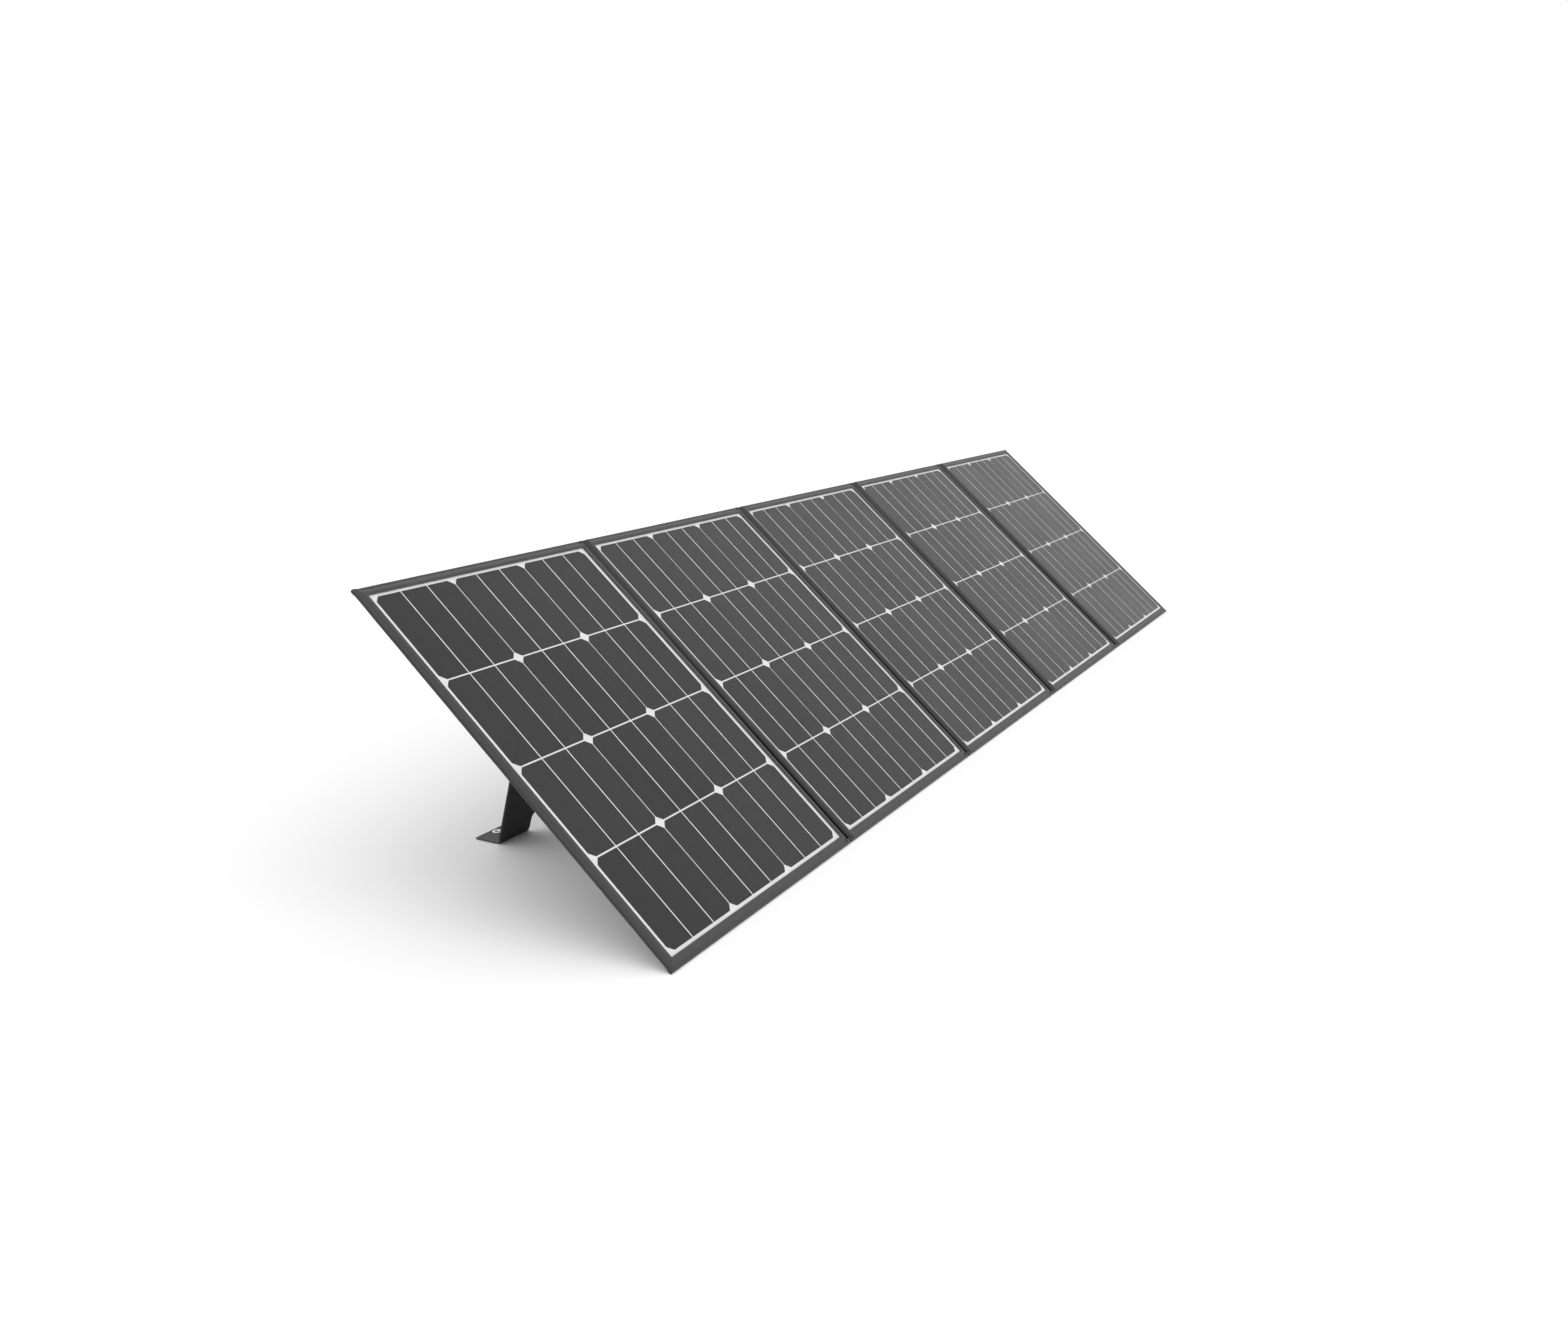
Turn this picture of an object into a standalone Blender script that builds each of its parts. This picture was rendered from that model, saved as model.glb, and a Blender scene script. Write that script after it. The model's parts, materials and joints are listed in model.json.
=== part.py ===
"""Five-fold portable solar panel, deployed on its kickstands.

Frame of the whole part: +X along the row of panels, +Y towards the kickstands, +Z up, floor at z = 0.
Frame of the panels: x along the row, t up the slope from the bottom hem, n out of the sunny face,
with n = 0 on the outside of the back cover. Every rigid body hangs on an empty on its joint axis.
"""

import math

import bmesh
import bpy
from mathutils import Matrix, Vector

MM = 0.001

# Driving dimensions of the cells
PANELS = 5
COLUMNS = 3
ROWS = 4
CELL = 125 * MM
WAFER_RADIUS = 82.5 * MM
COLUMN_GAP = 0.6 * MM
ROW_GAP = 3 * MM
RIBBONS_PER_CELL = 2
RIBBON_WIDTH = 1.5 * MM
CROSS_RIBBON_WIDTH = 3 * MM
CROSS_RIBBON_OFFSET = 7 * MM

# Driving dimensions of a panel
BORDER = 5 * MM
HEM_SIDE = 14 * MM
HEM_END = 11.5 * MM
STRIPS = (25 * MM, 27 * MM, 35 * MM, 39 * MM)
LAMINATE_MARGIN = 10 * MM
BOARD_MARGIN = 9 * MM
FIT = 0.3 * MM
TILT = math.radians(41.3)

# Layers of a panel, from the back: (lowest n, highest n)
COVER_LAYER = (0, 0.8 * MM)
BOARD_LAYER = (1.1 * MM, 2.6 * MM)
BACKSHEET_LAYER = (2.9 * MM, 3.5 * MM)
CELL_LAYER = (3.8 * MM, 4.1 * MM)
RIBBON_LAYER = (3.9 * MM, 4.3 * MM)
CROSS_RIBBON_LAYER = (3.85 * MM, 4.35 * MM)
FILM_LAYER = (4.65 * MM, 4.95 * MM)
FRAME_LAYER = (1.1 * MM, 6 * MM)
FRAME_LIP = 0.75 * MM

# Joint axes of the fabric hinges
BACK_AXIS = -8 * MM
FRONT_AXIS = 7 * MM
HINGES = ((0, BACK_AXIS), (1, FRONT_AXIS), (2, BACK_AXIS), (3, FRONT_AXIS))
ROOT_PANEL = 3

# Kickstands: each hangs on a fabric hinge on the back of a panel
LEG_PANELS = (1, 3, 5)
LEG_T = 415 * MM
LEG_N = -2.4 * MM
LEG_LENGTH = 281.5 * MM
LEG_LEFT = 176 * MM
LEG_NARROW = 58.5 * MM
LEG_WIDE = 86 * MM
LEG_SHOULDER_LOW = 21 * MM
LEG_SHOULDER_HIGH = 45 * MM
LEG_HALF = 2 * MM
LEG_TOP_GAP = 3 * MM
LEG_END_GAP = 4 * MM
LEG_BOARD_HALF = 0.8 * MM
LEG_WALL = 1.2 * MM
FOOT_DEPTH = 40 * MM
FOOT_HALF = 1 * MM
FOOT_START = 1 * MM
ANCHOR_HEIGHT = 30 * MM
ANCHOR_GAP = 4 * MM
ANCHOR_LAYER = (-1.5 * MM, -0.3 * MM)
EYELET_BACK = 29 * MM
EYELET_SIDE = 31 * MM
EYELET_HOLE = 4.3 * MM
EYELET_BARREL = 4 * MM
EYELET_BORE = 3.2 * MM
EYELET_FLANGE = 6.5 * MM
STRAP_WIDTH = 20 * MM
STRAP_HALF = 0.5 * MM
STRAP_ON_LEG = 165 * MM
STRAP_ON_PANEL = 215 * MM
STRAP_END_GAP = 3.5 * MM

# Junction box on the back of the fourth panel
BOX_PANEL = 4
BOX_T = (452 * MM, 512 * MM)
BOX_HALF_WIDTH = 45 * MM
BOX_LAYER = (-10 * MM, -0.3 * MM)
BOX_WALL = 2 * MM
LID_LAYER = (-12.3 * MM, -10.3 * MM)
CIRCUIT_LAYER = (-5.2 * MM, -3.6 * MM)
SOCKET_N = -6 * MM
SOCKET_OUTER = 5.4 * MM
SOCKET_BORE = 1.9 * MM
SOCKET_LENGTH = 20 * MM
SOCKET_FLOOR = 3 * MM
CAP_THICKNESS = 2.4 * MM
CAP_HINGE_N = -12.2 * MM
CAP_HINGE_GAP = 1.2 * MM

ROUND = 24

ARRAY_WIDTH = COLUMNS * CELL + (COLUMNS - 1) * COLUMN_GAP
ARRAY_HEIGHT = ROWS * CELL + (ROWS - 1) * ROW_GAP
FACE_WIDTH = ARRAY_WIDTH + 2 * BORDER
HEIGHT = ARRAY_HEIGHT + 2 * BORDER + 2 * HEM_END
ARRAY_T = HEM_END + BORDER
TOTAL_WIDTH = PANELS * FACE_WIDTH + sum(STRIPS) + 2 * HEM_SIDE

LEG_RISE = LEG_T * math.sin(TILT) + LEG_N * math.cos(TILT) - FOOT_HALF
LEG_TO_FLOOR = math.asin(LEG_RISE / LEG_LENGTH)
LEG_OPEN = math.pi - LEG_TO_FLOOR - TILT
LEG_Y = LEG_T * math.cos(TILT) - LEG_N * math.sin(TILT)
FOOT_Y = LEG_Y + LEG_LENGTH * math.cos(LEG_TO_FLOOR)
FRONT_Y = -FRAME_LAYER[1] * math.sin(TILT)
BACK_Y = FOOT_Y + FOOT_DEPTH
CENTRE_Y = (FRONT_Y + BACK_Y) / 2


def clear_scene():
    for obj in list(bpy.data.objects):
        bpy.data.objects.remove(obj)


def material(name, colour, roughness, metallic=0.0, alpha=1.0):
    made = bpy.data.materials.new(name)
    made.use_nodes = True
    shader = made.node_tree.nodes["Principled BSDF"]
    shader.inputs["Base Color"].default_value = (*colour, 1)
    shader.inputs["Roughness"].default_value = roughness
    shader.inputs["Metallic"].default_value = metallic
    shader.inputs["Alpha"].default_value = alpha
    made.diffuse_color = (*colour, alpha)
    return made


def make_materials():
    return {
        "textile": material("textile", (0.045, 0.045, 0.048), 0.85),
        "board": material("board", (0.16, 0.15, 0.13), 0.7),
        "backsheet": material("backsheet", (0.72, 0.72, 0.7), 0.5),
        "silicon": material("silicon", (0.035, 0.036, 0.042), 0.3),
        "film": material("film", (0.9, 0.9, 0.9), 0.25, alpha=0.15),
        "steel": material("steel", (0.6, 0.6, 0.6), 0.3, metallic=1.0),
        "webbing": material("webbing", (0.03, 0.03, 0.032), 0.9),
        "plastic": material("plastic", (0.03, 0.03, 0.032), 0.5),
        "rubber": material("rubber", (0.025, 0.025, 0.025), 0.8),
        "circuit": material("circuit", (0.03, 0.12, 0.05), 0.5),
    }


def empty(name, location, rotation_x=0.0, parent=None):
    """An empty on a joint axis, or at the root of the part."""
    made = bpy.data.objects.new(name, None)
    made.empty_display_size = 0.03
    made.location = location
    made.rotation_euler = (rotation_x, 0, 0)
    made.parent = parent
    bpy.context.scene.collection.objects.link(made)
    return made


def link(name, mesh_data, body, origin, finish=None):
    """A mesh becomes an object that hangs on the body's empty, its origin at the given point."""
    made = bpy.data.objects.new(name, mesh_data)
    made.parent = body["empty"]
    made.location = Vector(origin) - Vector(body["origin"])
    if finish is not None:
        mesh_data.materials.append(finish)
    bpy.context.scene.collection.objects.link(made)
    return made


def to_mesh(bm, name):
    bmesh.ops.recalc_face_normals(bm, faces=bm.faces)
    mesh_data = bpy.data.meshes.new(name)
    bm.to_mesh(mesh_data)
    bm.free()
    return mesh_data


def add_prism(bm, outline, low, high):
    """An outline of (x, y) points, extruded from low to high along z."""
    face = bm.faces.new([bm.verts.new((x, y, low)) for x, y in outline])
    extruded = bmesh.ops.extrude_face_region(bm, geom=[face])
    moved = [v for v in extruded["geom"] if isinstance(v, bmesh.types.BMVert)]
    bmesh.ops.translate(bm, verts=moved, vec=(0, 0, high - low))


def rectangle(x0, x1, y0, y1):
    return [(x0, y0), (x1, y0), (x1, y1), (x0, y1)]


def prism(name, body, outline, layer, finish=None):
    """A solid of one outline, in the frame of its body."""
    xs = [x for x, _ in outline]
    ys = [y for _, y in outline]
    origin = ((min(xs) + max(xs)) / 2, (min(ys) + max(ys)) / 2, sum(layer) / 2)
    bm = bmesh.new()
    local = [(x - origin[0], y - origin[1]) for x, y in outline]
    add_prism(bm, local, layer[0] - origin[2], layer[1] - origin[2])
    return link(name, to_mesh(bm, name), body, origin, finish)


def as_cutter(obj):
    obj.hide_render = True
    obj.display_type = "WIRE"
    return obj


def boolean(target, other, operation):
    modifier = target.modifiers.new(f"{operation}_{other.name}"[:60], "BOOLEAN")
    modifier.operation = operation
    modifier.solver = "EXACT"
    modifier.object = as_cutter(other)


def circle(cx, cy, radius):
    turns = [2 * math.pi * i / ROUND for i in range(ROUND)]
    return [(cx + radius * math.cos(a), cy + radius * math.sin(a)) for a in turns]


def lathe(name, body, origin, profile, finish, along_y=False):
    """A closed (radius, height) profile turned round the body's z axis, or its y axis."""
    bm = bmesh.new()
    rings = []
    for i in range(ROUND):
        a = 2 * math.pi * i / ROUND
        rings.append([bm.verts.new((r * math.cos(a), r * math.sin(a), h)) for r, h in profile])
    for i, ring in enumerate(rings):
        after = rings[(i + 1) % ROUND]
        for j in range(len(profile)):
            k = (j + 1) % len(profile)
            bm.faces.new((ring[j], ring[k], after[k], after[j]))
    if along_y:
        bmesh.ops.rotate(bm, verts=bm.verts, matrix=Matrix.Rotation(-math.pi / 2, 3, "X"))
    mesh_data = to_mesh(bm, name)
    mesh_data.shade_smooth()
    mesh_data.set_sharp_from_angle(angle=math.radians(40))
    return link(name, mesh_data, body, origin, finish)


def panel_edges():
    """For each panel, its (left edge, left of the white face, right edge) along x."""
    left = -TOTAL_WIDTH / 2
    face = left + HEM_SIDE
    edges = []
    for i in range(PANELS):
        strip = STRIPS[i] / 2 if i < len(STRIPS) else HEM_SIDE
        right = face + FACE_WIDTH + strip
        edges.append((left, face, right))
        left = right
        if i < len(STRIPS):
            face = right + strip
    return edges


EDGES = panel_edges()


def make_bodies(root):
    """One body for each panel, on an empty that lies on the fabric hinge it turns on."""
    bodies = {ROOT_PANEL: {"empty": root, "origin": (0, 0, 0)}}
    middle = HEIGHT / 2
    axes = {i + 1: (EDGES[i][2], middle, n) for i, n in HINGES}
    for panel, hinge, parent in ((2, 2, 3), (4, 3, 3), (1, 1, 2), (5, 4, 4)):
        origin = axes[hinge]
        above = bodies[parent]
        place = Vector(origin) - Vector(above["origin"])
        made = empty(f"hinge_{hinge}{hinge + 1}_axis", place, parent=above["empty"])
        bodies[panel] = {"empty": made, "origin": origin}
    return bodies


def cell_outline(cx, cy):
    """A square wafer with its four corners cut by the round of the ingot."""
    half = CELL / 2
    cut = math.sqrt(WAFER_RADIUS**2 - half**2)
    corner = [(half, cut), (cut, half)]
    points = []
    for quarter in range(4):
        c = round(math.cos(quarter * math.pi / 2))
        s = round(math.sin(quarter * math.pi / 2))
        points += [(cx + c * x - s * y, cy + s * x + c * y) for x, y in corner]
    return points


def make_cell_string(panel, body, finish):
    """Cells joined by flat ribbons, and the cross ribbons at both ends, as one soldered string."""
    x0 = EDGES[panel - 1][1] + BORDER
    bottom = ARRAY_T - CROSS_RIBBON_OFFSET
    top = ARRAY_T + ARRAY_HEIGHT + CROSS_RIBBON_OFFSET
    half = CROSS_RIBBON_WIDTH / 2
    origin = (x0 + ARRAY_WIDTH / 2, ARRAY_T + ARRAY_HEIGHT / 2, 0)

    def local(outline):
        return [(x - origin[0], y - origin[1]) for x, y in outline]

    cross = bmesh.new()
    for t in (bottom, top):
        bar = rectangle(x0 + 4 * MM, x0 + ARRAY_WIDTH - 4 * MM, t - half, t + half)
        add_prism(cross, local(bar), *CROSS_RIBBON_LAYER)
    ribbons = bmesh.new()
    cells = bmesh.new()
    for column in range(COLUMNS):
        left = x0 + column * (CELL + COLUMN_GAP)
        for i in range(RIBBONS_PER_CELL):
            x = left + CELL * (i + 1) / (RIBBONS_PER_CELL + 1)
            strip = rectangle(x - RIBBON_WIDTH / 2, x + RIBBON_WIDTH / 2, bottom, top)
            add_prism(ribbons, local(strip), *RIBBON_LAYER)
        for row in range(ROWS):
            t = ARRAY_T + CELL / 2 + row * (CELL + ROW_GAP)
            add_prism(cells, local(cell_outline(left + CELL / 2, t)), *CELL_LAYER)
    name = f"cell_string_{panel}"
    string = link(name, to_mesh(cross, name), body, origin, finish)
    for suffix, bm in (("ribbons", ribbons), ("cells", cells)):
        piece = link(f"{name}_{suffix}", to_mesh(bm, f"{name}_{suffix}"), body, origin, finish)
        boolean(string, piece, "UNION")


def make_panel(panel, body, mats):
    """The layers of one panel, from its back cover to the textile frame round its window."""
    left, face, right = EDGES[panel - 1]
    left_gap = 0 if panel == 1 else FIT / 2
    right_gap = 0 if panel == PANELS else FIT / 2
    outer = rectangle(left + left_gap, right - right_gap, 0, HEIGHT)
    array_left = face + BORDER
    array_right = array_left + ARRAY_WIDTH
    array_top = ARRAY_T + ARRAY_HEIGHT

    def around(margin):
        return rectangle(array_left - margin, array_right + margin, ARRAY_T - margin, array_top + margin)

    prism(f"back_cover_{panel}", body, outer, COVER_LAYER, mats["textile"])
    prism(f"stiffener_board_{panel}", body, around(BOARD_MARGIN), BOARD_LAYER, mats["board"])
    prism(f"backsheet_{panel}", body, around(LAMINATE_MARGIN), BACKSHEET_LAYER, mats["backsheet"])
    make_cell_string(panel, body, mats["silicon"])
    prism(f"front_film_{panel}", body, around(LAMINATE_MARGIN), FILM_LAYER, mats["film"])
    frame = prism(f"front_frame_{panel}", body, outer, FRAME_LAYER, mats["textile"])
    nest_layer = (FRAME_LAYER[0] - MM, FRAME_LAYER[1] - FRAME_LIP)
    nest = prism(f"front_frame_{panel}_nest", body, around(LAMINATE_MARGIN + FIT), nest_layer)
    window_layer = (FRAME_LAYER[0] - 2 * MM, FRAME_LAYER[1] + MM)
    window = prism(f"front_frame_{panel}_window", body, around(BORDER), window_layer)
    boolean(frame, nest, "DIFFERENCE")
    boolean(frame, window, "DIFFERENCE")


def leg_outline(inset):
    """Straight on one side, wide above a slanted shoulder on the other, narrow at the foot."""
    left = inset
    narrow = LEG_NARROW - inset
    wide = LEG_WIDE - inset
    top = -(LEG_TOP_GAP + inset)
    bottom = -(LEG_LENGTH - LEG_END_GAP)
    low = -(LEG_LENGTH - LEG_SHOULDER_LOW)
    high = -(LEG_LENGTH - LEG_SHOULDER_HIGH)
    return [(left, bottom), (narrow, bottom), (narrow, low), (wide, high), (wide, top), (left, top)]


def make_strap(panel, leg_body, finish):
    """The webbing that stops the kickstand: a straight taut band from the leg to the panel's back."""
    on_leg = Vector((0, -STRAP_ON_LEG, LEG_HALF))
    down = Vector((0, -math.cos(LEG_OPEN), math.sin(LEG_OPEN)))
    out = Vector((0, math.sin(LEG_OPEN), math.cos(LEG_OPEN)))
    on_panel = STRAP_ON_PANEL * down - LEG_N * out
    along = (on_panel - on_leg).normalized()
    start = on_leg + STRAP_END_GAP * along
    length = (on_panel - on_leg).length - 2 * STRAP_END_GAP
    centre_x = LEG_NARROW / 2
    middle = start + along * length / 2
    bm = bmesh.new()
    add_prism(bm, rectangle(-STRAP_WIDTH / 2, STRAP_WIDTH / 2, -length / 2, length / 2), -STRAP_HALF, STRAP_HALF)
    strap = link(f"leg_{panel}_strap", to_mesh(bm, f"leg_{panel}_strap"), leg_body, (0, 0, 0), finish)
    strap.location = (centre_x, middle.y, middle.z)
    strap.rotation_euler = (math.atan2(along.z, along.y), 0, 0)


def make_leg(panel, body, mats):
    """One kickstand: the anchor on the panel, the stiffened leg, its stop strap and its foot."""
    x = EDGES[panel - 1][1] + BORDER + LEG_LEFT
    low = LEG_T + ANCHOR_GAP
    patch = rectangle(x, x + LEG_WIDE, low, low + ANCHOR_HEIGHT)
    prism(f"leg_{panel}_anchor", body, patch, ANCHOR_LAYER, mats["textile"])

    pivot = Vector((x, LEG_T, LEG_N)) - Vector(body["origin"])
    leg_axis = empty(f"leg_{panel}_axis", pivot, LEG_OPEN, body["empty"])
    leg = {"empty": leg_axis, "origin": (0, 0, 0)}
    sleeve = prism(f"leg_{panel}_sleeve", leg, leg_outline(0), (-LEG_HALF, LEG_HALF), mats["textile"])
    room_half = LEG_BOARD_HALF + FIT
    room_outline = leg_outline(LEG_WALL)
    room_outline[0] = (LEG_WALL, -LEG_LENGTH)
    room_outline[1] = (LEG_NARROW - LEG_WALL, -LEG_LENGTH)
    room = prism(f"leg_{panel}_room", leg, room_outline, (-room_half, room_half))
    boolean(sleeve, room, "DIFFERENCE")
    board_layer = (-LEG_BOARD_HALF, LEG_BOARD_HALF)
    prism(f"leg_{panel}_board", leg, leg_outline(LEG_WALL + FIT), board_layer, mats["board"])
    make_strap(panel, leg, mats["webbing"])

    foot_axis = empty(f"foot_{panel}_axis", (0, -LEG_LENGTH, 0), LEG_TO_FLOOR, leg_axis)
    foot_body = {"empty": foot_axis, "origin": (0, 0, 0)}
    outline = rectangle(0, LEG_NARROW, -FOOT_DEPTH, -FOOT_START)
    foot = prism(f"leg_{panel}_foot", foot_body, outline, (-FOOT_HALF, FOOT_HALF), mats["textile"])
    hole_layer = (-2 * FOOT_HALF, 2 * FOOT_HALF)
    hole_outline = circle(EYELET_SIDE, -EYELET_BACK, EYELET_HOLE)
    hole = prism(f"leg_{panel}_hole", foot_body, hole_outline, hole_layer)
    boolean(foot, hole, "DIFFERENCE")
    flange_low = -FOOT_HALF - FIT
    flange_high = flange_low - 0.5 * MM
    profile = [
        (EYELET_BORE, FOOT_HALF - FIT),
        (EYELET_BARREL, FOOT_HALF - FIT),
        (EYELET_BARREL, flange_low),
        (EYELET_FLANGE, flange_low),
        (EYELET_FLANGE - 0.5 * MM, flange_high),
        (EYELET_BORE, flange_high),
    ]
    centre = (EYELET_SIDE, -EYELET_BACK, 0)
    lathe(f"leg_{panel}_eyelet", foot_body, centre, profile, mats["steel"])


def make_junction_box(body, mats):
    """The box that collects the strings' leads, with its output socket and hinged dust cap."""
    left, _, right = EDGES[BOX_PANEL - 1]
    x = (left + right) / 2
    t0, t1 = BOX_T
    outline = rectangle(x - BOX_HALF_WIDTH, x + BOX_HALF_WIDTH, t0, t1)

    def inside(margin):
        return rectangle(x - BOX_HALF_WIDTH + margin, x + BOX_HALF_WIDTH - margin, t0 + margin, t1 - margin)

    base = prism("junction_box_base", body, outline, BOX_LAYER, mats["plastic"])
    room_layer = (BOX_LAYER[0] - MM, BOX_LAYER[1] - BOX_WALL)
    room = prism("junction_box_room", body, inside(BOX_WALL), room_layer)
    boolean(base, room, "DIFFERENCE")
    prism("junction_box_lid", body, outline, LID_LAYER, mats["plastic"])
    prism("junction_box_circuit", body, inside(BOX_WALL + 2 * MM), CIRCUIT_LAYER, mats["circuit"])

    mouth = -SOCKET_LENGTH
    profile = [
        (0.4 * MM, -FIT),
        (SOCKET_OUTER, -FIT),
        (SOCKET_OUTER, mouth),
        (SOCKET_BORE, mouth),
        (SOCKET_BORE, -SOCKET_FLOOR),
        (0.4 * MM, -SOCKET_FLOOR),
    ]
    lathe("output_socket", body, (x, t0, SOCKET_N), profile, mats["plastic"], along_y=True)

    hinge_t = t0 + mouth - CAP_HINGE_GAP
    origin = (x, hinge_t, CAP_HINGE_N)
    place = Vector(origin) - Vector(body["origin"])
    cap_axis = empty("dust_cap_axis", place, parent=body["empty"])
    cap_body = {"empty": cap_axis, "origin": origin}
    bm = bmesh.new()
    radius = SOCKET_OUTER + 0.6 * MM
    drop = SOCKET_N - CAP_HINGE_N
    side = math.sqrt(radius**2 - (radius / 2) ** 2)
    start = math.atan2(-radius / 2, side)
    arc = [start + (math.pi - 2 * start) * i / (ROUND // 2) for i in range(ROUND // 2 + 1)]
    outline = [(radius * math.cos(a), radius * math.sin(a) + drop) for a in arc]
    outline += [(-side, -0.4 * MM), (side, -0.4 * MM)]
    add_prism(bm, outline, 0, CAP_THICKNESS)
    bmesh.ops.rotate(bm, verts=bm.verts, matrix=Matrix.Rotation(math.pi / 2, 3, "X"))
    cap_origin = (x, t0 + mouth - FIT, CAP_HINGE_N)
    link("dust_cap", to_mesh(bm, "dust_cap"), cap_body, cap_origin, mats["rubber"])


def main():
    clear_scene()
    mats = make_materials()
    root = empty("deployed_plane", (0, -CENTRE_Y, 0), TILT)
    bodies = make_bodies(root)
    for panel in range(1, PANELS + 1):
        make_panel(panel, bodies[panel], mats)
    for panel in LEG_PANELS:
        make_leg(panel, bodies[panel], mats)
    make_junction_box(bodies[BOX_PANEL], mats)


main()
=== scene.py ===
"""Looks of the five-fold solar panel: laminate, textile, stitching, kickstands and junction box.

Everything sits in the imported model's frame. Panel places use x along the row, t up the slope from the
bottom hem and n out of the sunny face, with n = 0 on the outside of the back cover.
"""

import json
import math
import random

import bmesh
import bpy
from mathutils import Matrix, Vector, noise


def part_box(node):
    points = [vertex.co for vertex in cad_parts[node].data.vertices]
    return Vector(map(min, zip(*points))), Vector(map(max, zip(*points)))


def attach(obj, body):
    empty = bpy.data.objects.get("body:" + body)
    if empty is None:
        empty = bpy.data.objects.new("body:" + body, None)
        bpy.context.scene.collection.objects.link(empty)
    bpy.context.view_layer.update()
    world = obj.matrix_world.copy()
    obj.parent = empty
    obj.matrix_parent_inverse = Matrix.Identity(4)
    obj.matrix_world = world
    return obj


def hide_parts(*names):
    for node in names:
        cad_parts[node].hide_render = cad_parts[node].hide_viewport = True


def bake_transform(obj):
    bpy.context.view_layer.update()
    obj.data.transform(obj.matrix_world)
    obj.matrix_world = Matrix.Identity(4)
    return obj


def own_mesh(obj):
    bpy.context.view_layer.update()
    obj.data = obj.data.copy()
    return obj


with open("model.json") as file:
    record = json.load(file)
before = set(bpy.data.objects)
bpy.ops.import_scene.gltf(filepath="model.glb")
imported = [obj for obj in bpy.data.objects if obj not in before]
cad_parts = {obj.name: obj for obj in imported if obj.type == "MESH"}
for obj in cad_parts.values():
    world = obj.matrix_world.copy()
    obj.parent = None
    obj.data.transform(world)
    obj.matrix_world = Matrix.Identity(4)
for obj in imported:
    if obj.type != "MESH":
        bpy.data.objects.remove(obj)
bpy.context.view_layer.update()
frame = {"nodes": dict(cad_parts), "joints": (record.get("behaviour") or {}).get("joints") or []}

MM = 0.001
SEED = 11

# Camera, as the object is seen from the front left
CAMERA_PLACE = (-2.0713, -0.9171, 0.6260)
CAMERA_ANGLES = (76.343, 0.249, -61.102)
CAMERA_LENS = 30.68
SENSOR = 36.0

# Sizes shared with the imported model
PANELS = range(1, 6)
LEG_PANELS = (1, 3, 5)
COLUMNS = 3
ROWS = 4
CELL = 125 * MM
WAFER_RADIUS = 83.4 * MM
CELL_STRETCH = (0.994, 1.008)
COLUMN_GAP = 0.6 * MM
ROW_GAP = 3 * MM
BORDER = 5 * MM
LAMINATE_MARGIN = 10 * MM
BOARD_MARGIN = 9 * MM
FACE_N = 6 * MM
CELL_N = (3.55 * MM, 3.75 * MM)
RIBBON_N = 3.98 * MM
RIBBON_WIDTH = 1.1 * MM
FINGER_PITCH = 1.9 * MM
HEM_DROP = 1.7 * MM
HEM_RISE = 1.1 * MM
HEM_REACH = 2.0 * MM

# Cloth: its thickness, and how far its edges lie from the hem or lap past the boards
CLOTH = 0.5 * MM
CLOTH_INSET = 1.2 * MM
STRIP_LAP = 1.2 * MM
TAPE_LAP = 0.6 * MM
TAPE_REACH = 6.5 * MM
STITCH = (4.2 * MM, 2.9 * MM, 0.5 * MM, 0.35 * MM)
STITCH_POINTS = ((-1, 0, -0.6), (-0.62, -1, 0), (-0.62, 1, 0), (0.62, -1, 0), (0.62, 1, 0), (1, 0, -0.6),
                 (-0.55, 0, 1), (0.55, 0, 1))
STITCH_FACES = ((0, 6, 2), (0, 1, 6), (1, 3, 7, 6), (6, 7, 4, 2), (5, 4, 7), (5, 7, 3), (0, 2, 4, 5, 3, 1))

JOINTS = {j["name"]: j for j in frame["joints"]}
RIGHT = Vector((1, 0, 0))
UP = Vector(JOINTS["hinge_23"]["axis"]).normalized()
OUT = RIGHT.cross(UP)


def plane_origin():
    """The point of the back cover that touches the floor, at x = 0."""
    lowest = min((v.co for v in frame["nodes"]["back_cover_1"].data.vertices), key=lambda co: co.z)
    return Vector((0, lowest.y, lowest.z))


ORIGIN = plane_origin()


def at(x, t, n):
    return ORIGIN + RIGHT * x + UP * t + OUT * n


def span(node, direction):
    """Lowest and highest distance of a node's points along a direction of the panels' frame."""
    values = [(v.co - ORIGIN).dot(direction) for v in frame["nodes"][node].data.vertices]
    return min(values), max(values)


HEIGHT = span("back_cover_1", UP)[1]
EDGES = {k: span(f"back_cover_{k}", RIGHT) for k in PANELS}
FACES = {k: [x + s * (LAMINATE_MARGIN - BORDER) for x, s in zip(span(f"backsheet_{k}", RIGHT), (1, -1))]
         for k in PANELS}
FACE_T = [t + s * (LAMINATE_MARGIN - BORDER) for t, s in zip(span("backsheet_1", UP), (1, -1))]
WINDOWS = {k: (FACES[k][0] + (0.3 if k == 1 else 0.9) * MM, FACES[k][1] - 0.3 * MM) for k in PANELS}
WINDOW_T = (FACE_T[0] + 0.2 * MM, FACE_T[1] - 1.2 * MM)
HINGE_X = {k: (EDGES[k][1] + EDGES[k + 1][0]) / 2 for k in PANELS if k + 1 in EDGES}


# ---------------------------------------------------------------- camera, floor and light


def make_camera():
    data = bpy.data.cameras.new("camera")
    data.lens, data.sensor_width, data.sensor_fit = CAMERA_LENS, SENSOR, "HORIZONTAL"
    camera = new_object("camera", data)
    camera.location = CAMERA_PLACE
    camera.rotation_euler = [math.radians(a) for a in CAMERA_ANGLES]
    bpy.context.scene.camera = camera


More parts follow.
